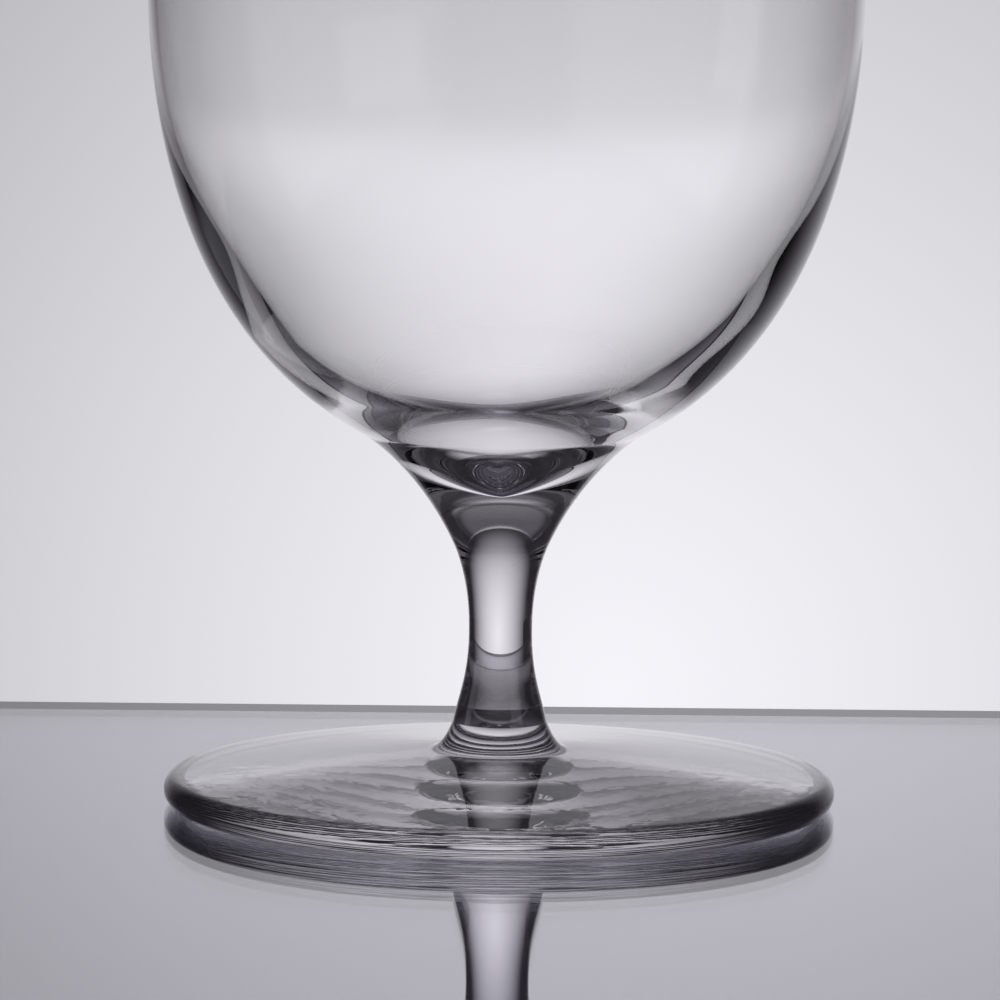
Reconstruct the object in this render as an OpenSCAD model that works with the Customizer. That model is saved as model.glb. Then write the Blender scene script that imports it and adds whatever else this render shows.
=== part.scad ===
// Water goblet: a stemmed drinking glass of clear glass, made of three pieces that are joined hot.
// A blown bowl sits on a drawn stem, and the stem stands on a pressed foot.
// All three are turned about the Z axis. The table top is Z = 0 and lengths are in millimetres.

/* [Foot] */
// Diameter of the foot
foot_d = 76; // [60:1:90]
// Thickness of the foot at its half-round edge
foot_edge_t = 3.4; // [2.4:0.1:4.4]
// Height of the foot's cone where the fillet to the stem begins
foot_cone_h = 6.4; // [5.2:0.1:7.6]
// Diameter of the foot's cone where the fillet begins
foot_cone_d = 16.2; // [14:0.2:24]
// Height of the whole foot, up to the seam with the stem
foot_h = 9.5; // [8.4:0.1:12]
// Width of the flat ring that rests on the table
rest_ring_w = 0.8; // [0.5:0.1:3]
// Depth of the hollow under the foot
foot_hollow_h = 1.1; // [0.4:0.1:2.4]

/* [Stem] */
// Length of the stem between its two seams
stem_l = 20.5; // [14:0.5:70]
// Diameter of the stem at its lower seam
stem_foot_d = 10.6; // [9:0.1:13]
// Diameter of the stem at its waist
stem_waist_d = 7.15; // [5:0.05:9]
// Diameter of the stem at its upper seam
stem_root_d = 11; // [9.4:0.1:15]

/* [Bowl] */
// Height of the bowl above the upper seam
bowl_h = 126; // [100:1:150]
// Outer diameter of the rim
rim_d = 66; // [56:0.5:80]
// Outer diameter of the bowl at its widest
belly_d = 80.2; // [72:0.2:90]
// Height of the widest place above the upper seam
belly_h = 64.4; // [50:0.2:80]
// Outer diameter of the root, where the bowl's round flank turns into the flare of the stem
root_d = 32.1; // [26:0.1:38]
// Height of the root above the upper seam
root_h = 12.5; // [10:0.1:16]

/* [Glass thickness] */
// Thickness of the wall at the fire-polished rim
rim_t = 1.2; // [0.9:0.05:2]
// Thickness of the wall at the belly
wall_t = 1.2; // [1:0.05:2]
// Thickness of the wall at the heel, where the flank turns in under the bowl
heel_t = 3; // [2:0.05:4]
// Thickness of the wall at the sole, where the flank meets the cavity's floor
sole_t = 3.4; // [2.4:0.05:4.4]
// Solid glass between the upper seam and the bottom of the cavity
base_t = 7.85; // [6.6:0.05:9.4]

/* [Smoothness] */
// Sides of each turned piece
turn_sides = 96; // [48:12:180]
// Straight steps in each curve of an outline
curve_steps = 20; // [10:1:40]

/* [Hidden] */

// Heights of the seams, the belly, the root and the rim above the table
stem_top_z = foot_h + stem_l;
belly_z = stem_top_z + belly_h;
root_z = stem_top_z + root_h;
rim_z = stem_top_z + bowl_h;
floor_z = stem_top_z + base_t;

// Lean of the outline as it runs down, in degrees towards the axis, at each place that it passes
rim_lean = -12;
belly_lean = 0;
root_lean = 61.5;
stem_top_lean = 25.4;
waist_lean = 0;
stem_foot_lean = -11;
level = 90;

// Reach of each curve at its two ends, as a share of the straight line between them
above_belly_shares = [0.26, 0.32];
flank_shares = [0.511, 0.26];
flare_shares = [0.063, 0.555];
upper_stem_shares = [0.096, 0.578];
lower_stem_shares = [0.493, 0.29];
foot_fillet_shares = [0.3, 0.12];
cavity_floor_shares = [0.22, 0.11];
hollow_shares = [0.4, 0.4];

// The waist's height as a share of the stem's length
waist_share = 0.505;
// The stretch of the flank's curve over which the wall thickens down to the heel
heel_shares = [0.08, 0.535];
// The stretch from the heel down to the sole, over which it thickens on
sole_shares = [0.535, 0.84];

foot_edge_r = foot_edge_t / 2;
rest_ring_r = foot_d / 2 - foot_edge_r;
foot_cone_slope = atan((foot_cone_h - foot_edge_t) / (rest_ring_r - foot_cone_d / 2));

// Direction of an outline that runs down with a given lean
function down(lean) = [-sin(lean), -cos(lean)];

// A curve from one place on an outline to the next: a cubic with a lean and a reach at each end
function curve(start, start_lean, end, end_lean, shares) =
    let (chord = norm(end - start))
    [start, start + chord * shares[0] * down(start_lean), end - chord * shares[1] * down(end_lean), end];

// The place at a share s of the way along a curve, and the direction there
function place(c, s) =
    pow(1 - s, 3) * c[0] + 3 * s * pow(1 - s, 2) * c[1] + 3 * pow(s, 2) * (1 - s) * c[2] + pow(s, 3) * c[3];
function heading(c, s) =
    let (d = pow(1 - s, 2) * (c[1] - c[0]) + 2 * s * (1 - s) * (c[2] - c[1]) + pow(s, 2) * (c[3] - c[2]))
    d / norm(d);

// The place that lies a thickness t inside the curve, on the side of the axis
function inside(c, s, t) = let (d = heading(c, s)) place(c, s) + t * [d[1], -d[0]];

// Points along a curve, without its last one, which begins the next curve
function points(c) = [for (i = [0 : curve_steps - 1]) place(c, i / curve_steps)];

// How far s has come between two limits, from 0 to 1, and the same with a level start and end
function share_of(s, limits) = min(max((s - limits[0]) / (limits[1] - limits[0]), 0), 1);
function ease(s, limits) = let (u = share_of(s, limits)) pow(u, 2) * (3 - 2 * u);

// A round arc of an outline about a centre, between two angles
function arc(centre, r, from, to) =
    [for (i = [0 : curve_steps]) let (a = from + (to - from) * i / curve_steps) centre + r * [cos(a), sin(a)]];

// The bowl: its outer outline runs from the rim to the seam, and its inner one from the cavity's bottom to the rim
module bowl() {
    lip_r = rim_t / 2;
    lip = [rim_d / 2 - lip_r, rim_z - lip_r];
    lip_side = lip_r * [cos(rim_lean), -sin(rim_lean)];
    belly = [belly_d / 2, belly_z];
    root = [root_d / 2, root_z];
    above_belly = curve(lip + lip_side, rim_lean, belly, belly_lean, above_belly_shares);
    flank = curve(belly, belly_lean, root, root_lean, flank_shares);
    flare = curve(root, root_lean, [stem_root_d / 2, stem_top_z], stem_top_lean, flare_shares);

    inner_above_belly =
        [for (i = [0 : curve_steps - 1]) let (s = i / curve_steps)
            inside(above_belly, s, rim_t + (wall_t - rim_t) * s)];
    flank_steps = 2 * curve_steps;
    inner_flank =
        [for (i = [0 : flank_steps]) let (s = sole_shares[1] * i / flank_steps)
            inside(flank, s, wall_t
                + (heel_t - wall_t) * ease(s, heel_shares)
                + (sole_t - heel_t) * pow(share_of(s, sole_shares), 2))];
    sole = inner_flank[flank_steps];
    sole_down = sole - inner_flank[flank_steps - 1];
    sole_lean = atan2(-sole_down[0], -sole_down[1]);
    cavity_floor = curve(sole, sole_lean, [0, floor_z], level, cavity_floor_shares);
    inner = concat(
        inner_above_belly,
        [for (i = [0 : flank_steps - 1]) inner_flank[i]],
        points(cavity_floor),
        [[0, floor_z]]
    );

    color("azure", 0.35)
        rotate_extrude($fn = turn_sides)
            polygon(concat(
                arc(lip, lip_r, 180 - rim_lean, -rim_lean),
                [for (i = [1 : curve_steps - 1]) place(above_belly, i / curve_steps)],
                points(flank),
                points(flare),
                [[stem_root_d / 2, stem_top_z], [0, stem_top_z]],
                [for (i = [len(inner) - 1 : -1 : 1]) inner[i]]
            ));
}

// The stem: a solid rod that was drawn out to a waist between its two seams
module stem() {
    top = [stem_root_d / 2, stem_top_z];
    waist = [stem_waist_d / 2, foot_h + stem_l * waist_share];
    bottom = [stem_foot_d / 2, foot_h];
    color("lightcyan", 0.35)
        rotate_extrude($fn = turn_sides)
            polygon(concat(
                points(curve(top, stem_top_lean, waist, waist_lean, upper_stem_shares)),
                points(curve(waist, waist_lean, bottom, stem_foot_lean, lower_stem_shares)),
                [bottom, [0, foot_h], [0, stem_top_z]]
            ));
}

// The foot: a low cone with a half-round edge, hollow underneath, that flows into the stem by a fillet
module foot() {
    top = [stem_foot_d / 2, foot_h];
    cone_top = [foot_cone_d / 2, foot_cone_h];
    hollow_r = rest_ring_r - rest_ring_w;
    hollow_lean = level + atan(2 * foot_hollow_h / hollow_r);
    color("aliceblue", 0.35)
        rotate_extrude($fn = turn_sides)
            polygon(concat(
                points(curve(top, stem_foot_lean, cone_top, foot_cone_slope - level, foot_fillet_shares)),
                [cone_top],
                arc([rest_ring_r, foot_edge_r], foot_edge_r, level - foot_cone_slope, -level),
                points(curve([hollow_r, 0], hollow_lean, [0, foot_hollow_h], level, hollow_shares)),
                [[0, foot_hollow_h], [0, foot_h]]
            ));
}

bowl();
stem();
foot();
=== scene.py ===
from math import atan, atan2, cos, degrees, exp, pi, radians, sin

import bpy
from mathutils import Matrix, Vector


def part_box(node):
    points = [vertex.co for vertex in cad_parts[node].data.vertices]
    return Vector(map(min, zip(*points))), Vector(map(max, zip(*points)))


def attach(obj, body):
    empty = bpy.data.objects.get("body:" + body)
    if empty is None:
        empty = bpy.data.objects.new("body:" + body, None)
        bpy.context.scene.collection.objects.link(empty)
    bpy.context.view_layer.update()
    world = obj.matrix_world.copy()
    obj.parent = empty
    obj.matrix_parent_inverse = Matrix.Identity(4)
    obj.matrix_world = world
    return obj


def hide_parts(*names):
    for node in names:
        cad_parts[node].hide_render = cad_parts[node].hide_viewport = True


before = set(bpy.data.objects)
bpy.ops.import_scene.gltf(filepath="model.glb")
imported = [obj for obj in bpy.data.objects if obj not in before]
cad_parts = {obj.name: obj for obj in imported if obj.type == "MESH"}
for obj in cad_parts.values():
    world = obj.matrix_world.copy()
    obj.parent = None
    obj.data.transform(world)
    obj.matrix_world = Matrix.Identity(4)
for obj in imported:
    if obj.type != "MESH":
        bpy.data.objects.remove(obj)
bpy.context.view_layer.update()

# Foot: a disc of clear glass, pressed hot, with a low cone on top, a half-round edge and a shallow hollow
# underneath. It stands on a narrow ring, ground flat, and flows up into the stem by a fillet.
mm = 0.001
level = pi / 2
foot_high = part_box("foot")[1]
edge_t = 3.4 * mm
edge_r = edge_t / 2
ring_outer = foot_high.x - edge_r
ring_w = 0.8 * mm
ring_inner = ring_outer - ring_w
hollow_h = 1.1 * mm
cone_top = Vector((8.15 * mm, 6.3 * mm))
neck = Vector((5.3 * mm, foot_high.z))
neck_lean = radians(-11)
fillet_lean = radians(-22)
cone_slope = atan((cone_top.y - edge_t) / (ring_outer - cone_top.x))
sides = 192
sharp_angle = radians(35)
curve_steps = 44


def down(lean):
    """The direction of an outline that runs down with this lean towards the axis."""
    return Vector((-sin(lean), -cos(lean)))


class Curve:
    """A cubic stretch of an outline, from one place to the next, with a lean and a reach at each end."""

    def __init__(self, start, start_lean, end, end_lean, shares):
        start = Vector(start)
        end = Vector(end)
        chord = (end - start).length
        near = start + chord * shares[0] * down(start_lean)
        far = end - chord * shares[1] * down(end_lean)
        self.corners = (start, near, far, end)

    def place(self, s):
        a, b, c, d = self.corners
        return (1 - s) ** 3 * a + 3 * s * (1 - s) ** 2 * b + 3 * s * s * (1 - s) * c + s**3 * d

    def heading(self, s):
        a, b, c, d = self.corners
        return ((1 - s) ** 2 * (b - a) + 2 * s * (1 - s) * (c - b) + s * s * (d - c)).normalized()

    def inside(self, s, thickness):
        """The place that lies a thickness inside the curve, on the side of the axis."""
        along = self.heading(s)
        return self.place(s) + thickness * Vector((along.y, -along.x))

    def points(self, steps=curve_steps):
        """Places along the curve, without its last one, which begins the next curve."""
        return [self.place(i / steps) for i in range(steps)]


def arc(centre, radius, start, end, steps=28):
    turns = (start + (end - start) * i / steps for i in range(steps + 1))
    return [centre + radius * Vector((cos(a), sin(a))) for a in turns]


def turned(name, outline, right=None):
    """A closed piece turned about the Z axis. Its outline runs from one place on the axis to another.

    A piece that isn't quite round has another outline on its right, and turns evenly from one to the other.
    """
    rings = list(zip(outline, right or outline))[1:-1]
    points = [Vector((0, 0, outline[0].y))]
    for at_left, at_right in rings:
        for k in range(sides):
            a = 2 * pi * k / sides
            r, z = at_left.lerp(at_right, (1 + cos(a)) / 2)
            points.append(Vector((r * cos(a), r * sin(a), z)))
    points.append(Vector((0, 0, outline[-1].y)))
    faces = []
    last = 1 + (len(rings) - 1) * sides
    for k in range(sides):
        n = (k + 1) % sides
        faces.append((0, 1 + k, 1 + n))
        for row in range(1, last, sides):
            faces.append((row + k, row + sides + k, row + sides + n, row + n))
        faces.append((len(points) - 1, last + n, last + k))
    mesh = bpy.data.meshes.new(name)
    mesh.from_pydata(points, [], faces)
    mesh.shade_smooth()
    mesh.set_sharp_from_angle(angle=sharp_angle)
    piece = bpy.data.objects.new(name, mesh)
    bpy.context.collection.objects.link(piece)
    return piece


class Socket:
    """A value in a node tree. Sums, products and powers add Math nodes, and node() adds any other one."""

    def __init__(self, tree, made=None, key=0):
        self.tree = tree
        self.made = made
        self.key = key

    def __getitem__(self, key):
        return Socket(self.tree, self.made, key)

    def node(self, kind, settings=None, sockets=None):
        made = self.tree.nodes.new(kind)
        for name, value in (settings or {}).items():
            setattr(made, name, value)
        for key, value in (sockets or {}).items():
            if isinstance(value, Socket):
                self.tree.links.new(value.made.outputs[value.key], made.inputs[key])
            else:
                made.inputs[key].default_value = value
        return Socket(self.tree, made)

    def maths(self, operation, *others):
        values = dict(enumerate((self, *others)))
        return self.node("ShaderNodeMath", {"operation": operation}, values)

    def __add__(self, other):
        return self.maths("ADD", other)

    def __mul__(self, other):
        return self.maths("MULTIPLY", other)

    def __sub__(self, other):
        return self.maths("SUBTRACT", other)

    def __truediv__(self, other):
        return self.maths("DIVIDE", other)

    def __rsub__(self, other):
        return self * -1 + other

    def __rtruediv__(self, other):
        return self.maths("POWER", -1.0) * other

    __radd__ = __add__
    __rmul__ = __mul__

    def ease(self, low, high, start=0.0, end=1.0):
        """A smooth change from start to end while the value goes from low to high."""
        limits = {"Value": self, "From Min": low, "From Max": high, "To Min": start, "To Max": end}
        return self.node("ShaderNodeMapRange", {"interpolation_type": "SMOOTHSTEP"}, limits)


def new_shader(owner):
    """An empty node tree for a material or a world, ready for its first node."""
    owner.use_nodes = True
    owner.node_tree.nodes.clear()
    return Socket(owner.node_tree)


glass_ior = 1.52


def clear_glass(name, waviness, grain, tone, violet=None, ground=None):
    """Crystal glass, fire-polished and faintly wavy. Its tone comes and goes a little in soft streaks.

    violet gives how much of the tone a place takes, and ground gives the roughness there.
    """
    material = bpy.data.materials.new(name)
    shader = new_shader(material)
    place = shader.node("ShaderNodeTexCoord")["Object"]
    stretched = shader.node("ShaderNodeVectorMath", {"operation": "MULTIPLY"}, {0: place, 1: grain})
    flow = shader.node("ShaderNodeTexNoise", {}, {"Vector": stretched, "Scale": 1.0, "Detail": 2.0})
    ripple = shader.node("ShaderNodeBump", {}, {"Strength": 1.0, "Distance": waviness, "Height": flow})
    share = violet(shader, place) if violet else 1.0
    streaks = flow.ease(0.3, 0.7, 0.85, 1.0) * share
    colours = {0: streaks, 6: (0.999, 0.998, 1.0, 1), 7: tone}
    colour = shader.node("ShaderNodeMix", {"data_type": "RGBA"}, colours)[2]
    settings = {"IOR": glass_ior, "Transmission Weight": 1.0, "Base Color": colour, "Normal": ripple}
    settings["Roughness"] = ground(shader, place) if ground else 0.0
    body = shader.node("ShaderNodeBsdfPrincipled", {}, settings)
    shader.node("ShaderNodeOutputMaterial", {}, {"Surface": body})
    return material


def joint_glass(name):
    """The place inside the glass where two pieces were joined hot: nothing bends the light there."""
    material = bpy.data.materials.new(name)
    shader = new_shader(material)
    through = shader.node("ShaderNodeBsdfTransparent")
    shader.node("ShaderNodeOutputMaterial", {}, {"Surface": through})
    return material


def glaze(piece, glass, seams):
    """Gives a piece its glass, and the joint's finish to its flat faces at the seams."""
    piece.data.materials.append(glass)
    piece.data.materials.append(joint_glass(glass.name + "_joint"))
    nearly_level = 0.999
    nearly_there = 0.001 * mm
    for face in piece.data.polygons:
        is_level = abs(face.normal.z) > nearly_level
        if is_level and any(abs(face.center.z - z) < nearly_there for z in seams):
            face.material_index = 1


def ground_ring(shader, place):
    """Roughness of the foot: the ring that rests on the table is ground, the rest is fire-polished."""
    axes = shader.node("ShaderNodeSeparateXYZ", {}, {0: place})
    r = (axes[0] * axes[0] + axes[1] * axes[1]).maths("SQRT")
    blend = 0.3 * mm
    on_ring = r.ease(ring_inner - blend, ring_inner) * r.ease(ring_outer, ring_outer + blend, 1.0, 0.0)
    at_table = axes[2].ease(0.02 * mm, 0.06 * mm, 1.0, 0.0)
    ground_roughness = 0.3
    return ground_roughness * on_ring * at_table


fillet = Curve(neck, fillet_lean, cone_top, cone_slope - level, (0.62, 0.24))
edge_start = Vector((ring_outer + edge_r * sin(cone_slope), edge_r + edge_r * cos(cone_slope)))
cone = Curve(cone_top, cone_slope - level, edge_start, cone_slope - level, (0.33, 0.33))
edge = arc(Vector((ring_outer, edge_r)), edge_r, level - cone_slope, -level)
hollow_top = Vector((0, hollow_h))
hollow_lean = level + atan2(2 * hollow_h, ring_inner)
hollow = Curve((ring_inner, 0), hollow_lean, hollow_top, level, (0.4, 0.4))
foot_outline = [Vector((0, neck.y)), neck / 2 + Vector((0, neck.y / 2))]
foot_outline += fillet.points() + cone.points() + edge
foot_outline += [Vector(((ring_outer + ring_inner) / 2, 0))] + hollow.points() + [hollow_top]
foot = turned("foot_glass_body", foot_outline)
foot_tone = (0.86, 0.842, 0.872, 1)
foot_waviness = 0.02 * mm
foot_glass = clear_glass("foot_glass", foot_waviness, (260, 260, 260), foot_tone, None, ground_ring)
glaze(foot, foot_glass, [neck.y])
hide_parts("foot")
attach(foot, "root")

# Stem: a solid rod of clear glass, drawn out to a waist while it was soft. It is joined hot to the foot
# below and to the bowl above.
stem_low, stem_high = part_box("stem")
stem_top = Vector((5.5 * mm, stem_high.z))
stem_top_lean = radians(25.4)
waist_share = 0.505
waist = Vector((3.575 * mm, stem_low.z + waist_share * (stem_high.z - stem_low.z)))
upper_stem = Curve(stem_top, stem_top_lean, waist, 0, (0.096, 0.578))
lower_stem = Curve(waist, 0, neck, neck_lean, (0.493, 0.29))
stem_outline = [Vector((0, stem_top.y)), Vector((stem_top.x / 2, stem_top.y))]
stem_outline += upper_stem.points() + lower_stem.points()
stem_outline += [neck, Vector((neck.x / 2, neck.y)), Vector((0, neck.y))]
stem = turned("stem_glass_body", stem_outline)
clear_tone = (0.975, 0.958, 0.985, 1)
stem_waviness = 0.004 * mm
stem_glass = clear_glass("stem_glass", stem_waviness, (300, 300, 120), clear_tone)
glaze(stem, stem_glass, [stem_low.z, stem_high.z])
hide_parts("stem")
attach(stem, "root")

# Bowl: a blown body of clear glass. Its thin wall has a fire-polished rim, thickens down the flank to a
# heel and a sole, and ends in a solid base that flares down to the stem.
bowl_low, bowl_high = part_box("bowl")
rim_t = 1.2 * mm
rim_lean = radians(-12)
root_lean = radians(61.5)
lip_r = rim_t / 2
rim_r = 33 * mm
lip = Vector((rim_r - lip_r, bowl_high.z - lip_r))
lip_side = lip + lip_r * Vector((cos(rim_lean), -sin(rim_lean)))
belly_h = 64.4 * mm
belly = Vector((bowl_high.x, bowl_low.z + belly_h))
root_h = 12.5 * mm
root = Vector((16.05 * mm, bowl_low.z + root_h))
base_t = 7.85 * mm
cavity_bottom = Vector((0, bowl_low.z + base_t))
above_belly = Curve(lip_side, rim_lean, belly, 0, (0.26, 0.32))
flank = Curve(belly, 0, root, root_lean, (0.511, 0.26))
flare = Curve(root, root_lean, stem_top, stem_top_lean, (0.063, 0.555))
# The blowing left the wall a little thinner on the left than on the right. Shares are of the way down the
# flank, and a swell is a slight bulge of the wall: its height, its centre and its spread.
left_wall = {
    "wall_t": 1.05 * mm,
    "heel_t": 2.8 * mm,
    "sole_t": 3.45 * mm,
    "heel_shares": (0.04, 0.65),
    "sole_shares": (0.38, 0.87),
    "swell": (-0.29 * mm, 0.285, 0.107),
    "floor_shares": (0.29, 0.115),
}
right_wall = {
    "wall_t": 1.2 * mm,
    "heel_t": 3.15 * mm,
    "sole_t": 4.0 * mm,
    "heel_shares": (0.08, 0.78),
    "sole_shares": (0.34, 0.885),
    "swell": (0.17 * mm, 0.485, 0.095),
    "floor_shares": (0.195, 0.085),
}


def way(s, limits):
    """How far s has come between two limits, from 0 to 1."""
    return min(max((s - limits[0]) / (limits[1] - limits[0]), 0), 1)


def flank_t(s, wall):
    """Thickness of the wall at a share of the way down the flank."""
    u = way(s, wall["heel_shares"])
    to_heel = (wall["heel_t"] - wall["wall_t"]) * u * u * (3 - 2 * u)
    to_sole = (wall["sole_t"] - wall["heel_t"]) * way(s, wall["sole_shares"]) ** 2
    swell, centre, spread = wall["swell"]
    return wall["wall_t"] + to_heel + to_sole + swell * exp(-(((s - centre) / spread) ** 2) / 2)


def cavity(wall):
    """The inner outline on one side of the bowl, from the bottom of the cavity up to the rim."""
    belly_t = flank_t(0, wall)
    shares_above = [i / curve_steps for i in range(curve_steps)]
    above = [above_belly.inside(s, rim_t + (belly_t - rim_t) * s) for s in shares_above]
    flank_steps = 2 * curve_steps
    shares = [wall["sole_shares"][1] * i / flank_steps for i in range(flank_steps + 1)]
    side = [flank.inside(s, flank_t(s, wall)) for s in shares]
    sole = side.pop()
    along = sole - side[-1]
    floor = Curve(sole, atan2(-along.x, -along.y), cavity_bottom, level, wall["floor_shares"])
    return [cavity_bottom] + (above + side + floor.points())[:0:-1]


def base_violet(shader, place):
    """How violet the bowl looks: fully in its solid base, and less and less up the flank."""
    height = shader.node("ShaderNodeSeparateXYZ", {}, {0: place})[2]
    return height.ease(34 * mm, 50 * mm, 1.0, 0.0)


outside = arc(lip, lip_r, pi - rim_lean, -rim_lean) + above_belly.points()[1:]
outside += flank.points() + flare.points()
outside += [stem_top, Vector((stem_top.x / 2, stem_top.y)), Vector((0, stem_top.y))]
bowl = turned("bowl_glass_body", cavity(left_wall) + outside, cavity(right_wall) + outside)
bowl_waviness = 0.003 * mm
bowl_glass = clear_glass("bowl_glass", bowl_waviness, (90, 90, 40), clear_tone, base_violet)
glaze(bowl, bowl_glass, [bowl_low.z])
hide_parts("bowl")
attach(bowl, "root")

# Table: a sheet of clear glass, silvered underneath, on a pale board. Its polished far edge lies a little
# way behind the goblet. From low down it works as a double mirror, and from above it is plain and pale.
table_gap = 0.02 * mm
table_back = 69.7 * mm
sheet_t = 3.2 * mm
half_w = 1.5
length = 2.0


def slab(name, top, thick, materials):
    """A flat board with its far edge at the table's back. The first material is its top and sides."""
    front = table_back - length
    section = [(table_back, top - thick), (table_back, top), (front, top), (front, top - thick)]
    corners = [(x, y, z) for x in (-half_w, half_w) for y, z in section]
    faces = [(0, 1, 5, 4), (1, 2, 6, 5), (2, 3, 7, 6), (3, 0, 4, 7), (3, 2, 1, 0), (4, 5, 6, 7)]
    mesh = bpy.data.meshes.new(name)
    mesh.from_pydata(corners, [], faces)
    for material in materials:
        mesh.materials.append(material)
    mesh.polygons[3].material_index = len(materials) - 1
    board = bpy.data.objects.new(name, mesh)
    bpy.context.collection.objects.link(board)


def seen_plainly(entered):
    """Whether light came through no glass, or through both walls of the bowl and nothing else.

    The transmission depth counts the surfaces of glass that were passed, two for each wall.
    """
    both_walls = 4.0
    return entered.maths("LESS_THAN", 0.5) + entered.maths("COMPARE", both_walls, 0.5)


sheet_glass = bpy.data.materials.new("table_sheet_glass")
shader = new_shader(sheet_glass)
facing = shader.node("ShaderNodeLayerWeight", {}, {"Blend": 0.5})["Facing"]
within = shader.node("ShaderNodeNewGeometry")["Backfacing"]
window_glass = {"Color": (0.985, 0.985, 0.985, 1), "Roughness": 0.0, "IOR": 1.5}
clear = shader.node("ShaderNodeBsdfGlass", {}, window_glass)
board_colour = (0.74, 0.73, 0.74, 1)
matt = shader.node("ShaderNodeBsdfDiffuse", {}, {"Color": board_colour})
entered = shader.node("ShaderNodeLightPath")["Transmission Depth"]
bounced = shader.node("ShaderNodeLightPath")["Glossy Depth"]
seen_first = seen_plainly(entered)
least_gloss, most_gloss = 0.05, 0.98
seen_gloss = facing.ease(0.73, 0.79, least_gloss, most_gloss) * seen_first
low_gloss = facing.ease(0.60, 0.68, least_gloss, most_gloss) * (1 - seen_first)
steep_gloss = facing.ease(0.40, 0.50, 0.93, 0.0) * entered.maths("GREATER_THAN", 3.5)
turned_light = bounced.maths("GREATER_THAN", 0.5)
grazing = (seen_gloss + low_gloss + steep_gloss).maths("MAXIMUM", turned_light).maths("MAXIMUM", within)
# Painted light: the table glows faintly at the lit board's own colour, in place of the light that glass
# gathers under the foot and the bowl. It glows only where the table is seen through glass.
painted_glow = shader.node("ShaderNodeEmission", {}, {"Color": (0.47, 0.465, 0.475, 1)})
axes = shader.node("ShaderNodeSeparateXYZ", {}, {0: shader.node("ShaderNodeTexCoord")["Object"]})
from_axis = (axes[0] * axes[0] + axes[1] * axes[1]).maths("SQRT")
under_foot = from_axis.ease(foot_high.x, 40 * mm, 1.0, 0.0)
behind_bowl = (1 - under_foot) * axes[0].ease(-60 * mm, -20 * mm, 1.0, 0.0)
near = under_foot * entered.maths("LESS_THAN", 3.5) + behind_bowl
# Painted light: seen through glass under the foot and left of it, the board shows the painted glow instead
# of its matt paint.
board_or_painted_glow = shader.node("ShaderNodeMixShader", {}, {0: near * (1 - seen_first), 1: matt, 2: painted_glow})
top = shader.node("ShaderNodeMixShader", {}, {0: grazing, 1: board_or_painted_glow, 2: clear})
shader.node("ShaderNodeOutputMaterial", {}, {"Surface": top})
silver = bpy.data.materials.new("table_silver")
shader = new_shader(silver)
polished = {"Color": (0.80, 0.80, 0.845, 1), "Roughness": 0.0}
mirror = shader.node("ShaderNodeBsdfAnisotropic", {"distribution": "GGX"}, polished)
shader.node("ShaderNodeOutputMaterial", {}, {"Surface": mirror})
slab("table_sheet", -table_gap, sheet_t, [sheet_glass, silver])
board_paint = bpy.data.materials.new("table_board_paint")
shader = new_shader(board_paint)
paint = shader.node("ShaderNodeBsdfDiffuse", {}, {"Color": board_colour})
shader.node("ShaderNodeOutputMaterial", {}, {"Surface": paint})
board_gap = 0.5 * mm
board_t = 18 * mm
slab("table_board", -table_gap - sheet_t - board_gap, board_t, [board_paint])

# Soft box: a broad light behind the table, below and a little to the right of the goblet, that fades
# towards its rim. Only glass and gloss show it, and only from the front. Its low left corner is cut off.
box_y = 400 * mm
box_x, box_z = 20 * mm, -50 * mm
box_left, box_core, box_rim = 0.18, -125 * mm, 460 * mm
box_peak, box_tail = 1.01, 0.02


def glow(x, z):
    """The soft box's light at a place on it."""
    aside = x - box_x
    aside = aside * (1 + box_left * aside.maths("LESS_THAN", 0.0))
    rise = z - box_z
    away = (aside * aside + rise * rise).maths("SQRT")
    return away.ease(box_core, box_rim, box_peak + box_tail, box_tail)


def tinted(light):
    """The light's colour: a trace cooler than white where it is strong, and faintly violet where weak."""
    weak = light.ease(0.05, 0.45, 1.0, 0.0)
    red = light * (1.0126 + 0.015 * weak)
    green = light * (1 - 0.045 * weak)
    blue = light * (1.055 + 0.05 * weak)
    return light.node("ShaderNodeCombineXYZ", {}, {0: red, 1: green, 2: blue})


box_mesh = bpy.data.meshes.new("soft_box")
soft_box = bpy.data.objects.new("soft_box", box_mesh)
bpy.context.collection.objects.link(soft_box)
box_far, box_foot, box_top = 1.2, -0.5, 0.6
cut_x, cut_z = -0.28, -0.03
box_outline = [(cut_x, box_foot), (box_far, box_foot), (box_far, box_top), (cut_x, box_top)]
box_outline += [(-box_far, box_top), (-box_far, cut_z), (cut_x, cut_z)]
box_corners = [(x, box_y, z) for x, z in box_outline]
box_mesh.from_pydata(box_corners, [], [(0, 1, 2, 3, 6), (6, 3, 4, 5)])
material = bpy.data.materials.new("soft_box_light")
shader = new_shader(material)
place = shader.node("ShaderNodeTexCoord")["Object"]
axes = shader.node("ShaderNodeSeparateXYZ", {}, {0: place})
path = shader.node("ShaderNodeLightPath")
straight = path["Glossy Depth"].maths("LESS_THAN", 0.5)
through_walls = path["Transmission Depth"].maths("GREATER_THAN", 3.5) * straight
left = axes[0] * -1
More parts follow.
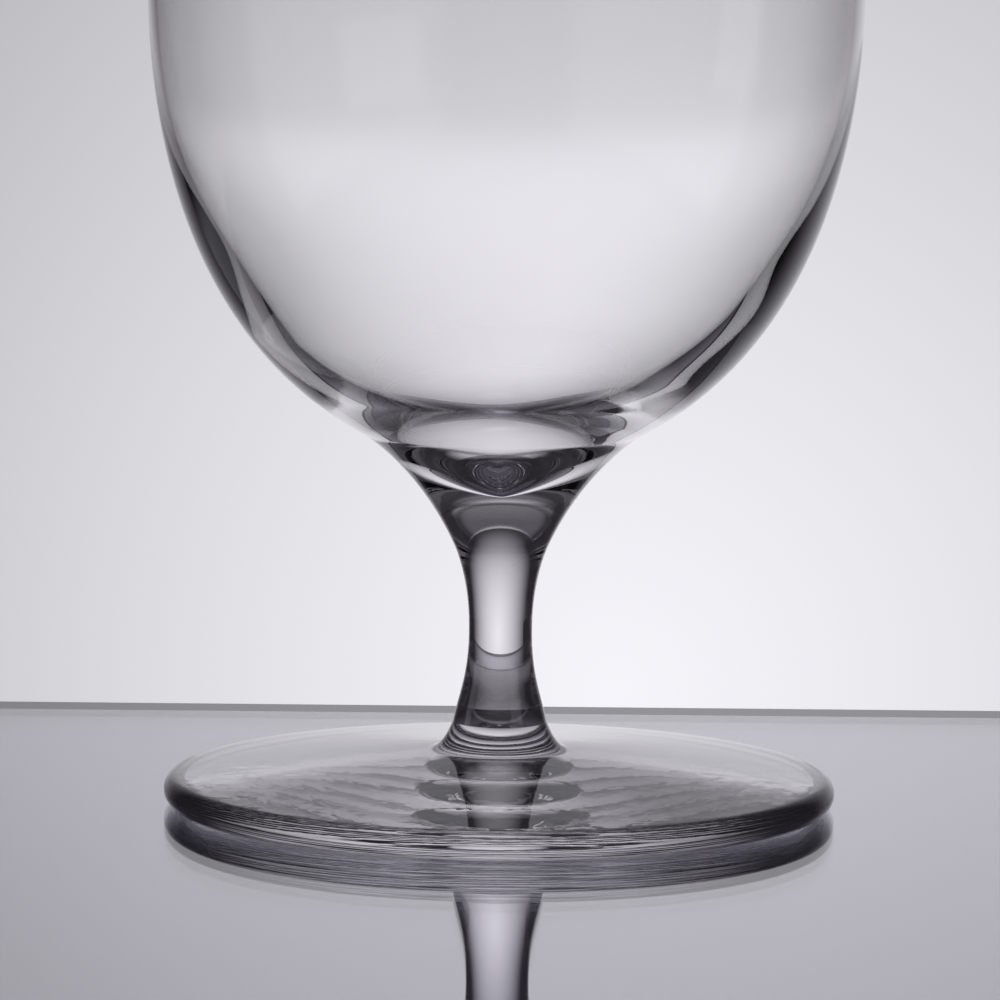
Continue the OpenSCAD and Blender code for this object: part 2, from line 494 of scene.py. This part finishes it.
# Light that comes through both walls of the bowl is raised in two places, to match the photo's tones.
low_corner = left.ease(0.2, 0.28) * through_walls * axes[2].ease(-0.09, -0.03, 1.0, 0.0)
stronger = axes[2].ease(0.010, 0.038, 0.125, 0.0) - axes[2].ease(-0.055, 0.004, 0.125, 0.0)
corner_light = 0.7
box_light = glow(axes[0], axes[2]) * (1 + stronger * through_walls) + corner_light * low_corner
lit = shader.node("ShaderNodeEmission", {}, {"Color": tinted(box_light)})
behind = shader.node("ShaderNodeNewGeometry")["Backfacing"]
through = shader.node("ShaderNodeBsdfTransparent")
one_sided = shader.node("ShaderNodeMixShader", {}, {0: behind, 1: lit, 2: through})
shader.node("ShaderNodeOutputMaterial", {}, {"Surface": one_sided})
box_mesh.materials.append(material)
soft_box.visible_camera = False
soft_box.visible_diffuse = False
soft_box.visible_shadow = False

# Studio: a plain pale room. The camera sees a pale backdrop with the soft box's glow in its middle. The
# glass mirrors a dim room with a faint ceiling, three lamps and a pale floor. Through the glass the backdrop
# is pale only in the ranges of direction given below, and dim elsewhere.
world = bpy.data.worlds.new("studio")
bpy.context.scene.world = world
shader = new_shader(world)
direction = shader.node("ShaderNodeTexCoord")["Generated"]
axes = shader.node("ShaderNodeSeparateXYZ", {}, {0: direction})
x, y, z = axes[0], axes[1], axes[2]
azimuth = x.maths("ARCTAN2", y) * degrees(1)
aside = azimuth.maths("ABSOLUTE")
ahead = y.maths("MAXIMUM", 0.01)
backdrop_reach = 1.16
eye_height = 133 * mm
seen_x = x / ahead * backdrop_reach
seen_z = z / ahead * backdrop_reach + eye_height
glow_low, glow_high = -50 * mm, 75 * mm
seen_z = seen_z.maths("MAXIMUM", glow_low).maths("MINIMUM", glow_high)
turned_away = aside.ease(6.0, 14.0)
pale = 0.72
seen = glow(seen_x, seen_z) * (1 - turned_away) + pale * turned_away


def lamp(centre, spread):
    """The glow of a lamp that stands at an azimuth, brightest at its middle."""
    away = (azimuth - centre) / spread
    brightest = 0.75
    return brightest * (away * away * -0.5).maths("EXPONENT")


def towards(centre, inner, outer):
    """1 for directions within inner degrees of an azimuth, and 0 from outer degrees on."""
    return (azimuth - centre).maths("ABSOLUTE").ease(inner, outer, 1.0, 0.0)


path = shader.node("ShaderNodeLightPath")
camera_ray = path["Is Camera Ray"]
off_matt = path["Diffuse Depth"].maths("GREATER_THAN", 0.5)
entered = path["Transmission Depth"]
bounced = path["Glossy Depth"]
straight = bounced.maths("LESS_THAN", 0.5)
level_light = z.ease(-0.6, -0.3) * z.ease(0.4, 0.7, 1.0, 0.0)
lamps = (lamp(-90.0, 11.0) + lamp(90.0, 11.0) + lamp(135.0, 14.0)) * straight * level_light
# Through the bowl the backdrop is pale sideways and backwards, and for a view from above on the right.
# In between it stays dim, so from there the bowl looks dark against the pale backdrop beside it.
from_above = towards(-45.0, 25.0, 35.0) * z.ease(-0.36, -0.28, 1.0, 0.0)
through_bowl = entered.maths("GREATER_THAN", 2.5) * aside.ease(75.0, 90.0)
through_bowl = through_bowl.maths("MAXIMUM", entered.maths("GREATER_THAN", 1.5) * from_above) * straight
# The table mirrors the pale backdrop only in views from the right and from behind on the left. Seen from
# low down on any other side but the front, it mirrors the dim room and looks dark.
from_side = towards(-90.0, 8.0, 12.0) * z.ease(0.18, 0.28, 1.0, 0.0)
from_back = towards(135.0, 12.0, 18.0) * z.ease(0.06, 0.10)
off_sheet = entered.maths("COMPARE", 2.0, 0.5) + entered.maths("GREATER_THAN", 5.5)
off_sheet = off_sheet + seen_plainly(entered) * from_side.maths("MAXIMUM", from_back)
mirrored = bounced.maths("COMPARE", 1.0, 0.1)
off_table = mirrored * off_sheet * z.maths("GREATER_THAN", 0.0) * z.ease(0.3, 0.4, 1.0, 0.0)
off_table = off_table * aside.ease(78.0, 86.0) * aside.ease(150.0, 165.0, 1.0, 0.0)
# The outside of the glass mirrors a pale floor beside the table, which lightens the bowl's underside.
low_sides = (aside - 40.0).maths("ABSOLUTE").ease(22.0, 38.0, 1.0, 0.0) * z.ease(-0.32, -0.22, 1.0, 0.0)
off_outside = entered.maths("LESS_THAN", 0.5) * mirrored
floor_light = 0.25
room_light, ceiling_light = 0.022, 0.10
dim = z.ease(0.55, 0.85, room_light, ceiling_light) + lamps + floor_light * low_sides * off_outside
shown = through_bowl.maths("MAXIMUM", off_table)
dim = dim * (1 - shown) + pale * shown
matt_light = 0.7
light = camera_ray * seen + (1 - camera_ray) * (off_matt * matt_light + (1 - off_matt) * dim)
background = shader.node("ShaderNodeBackground", {}, {"Color": tinted(light)})
shader.node("ShaderNodeOutputWorld", {}, {"Surface": background})

# Camera: a long lens from 0.76 m away and a little below the height of the rim, pitched down and rolled a
# little. It stands where the photographer's did, as measured from the ellipses of the foot and the bowl.
sight = bpy.data.cameras.new("camera")
camera = bpy.data.objects.new("camera", sight)
bpy.context.collection.objects.link(camera)
photo_width = 1000
focal_pixels = 6795
sight.sensor_width = 36
sight.lens = focal_pixels / photo_width * sight.sensor_width
sight.clip_start = 10 * mm
look_down = 7.37
roll_angle = 0.55
eye_aside, eye_distance = -0.2 * mm, 760 * mm
stand = Matrix.Translation((eye_aside, -eye_distance, eye_height))
pitch = Matrix.Rotation(radians(90 - look_down), 4, "X")
roll = Matrix.Rotation(radians(roll_angle), 4, "Z")
camera.matrix_world = stand @ pitch @ roll
scene = bpy.context.scene
scene.camera = camera
scene.view_settings.view_transform = "Standard"
scene.cycles.max_bounces = 32
scene.cycles.transmission_bounces = 32
scene.cycles.glossy_bounces = 16
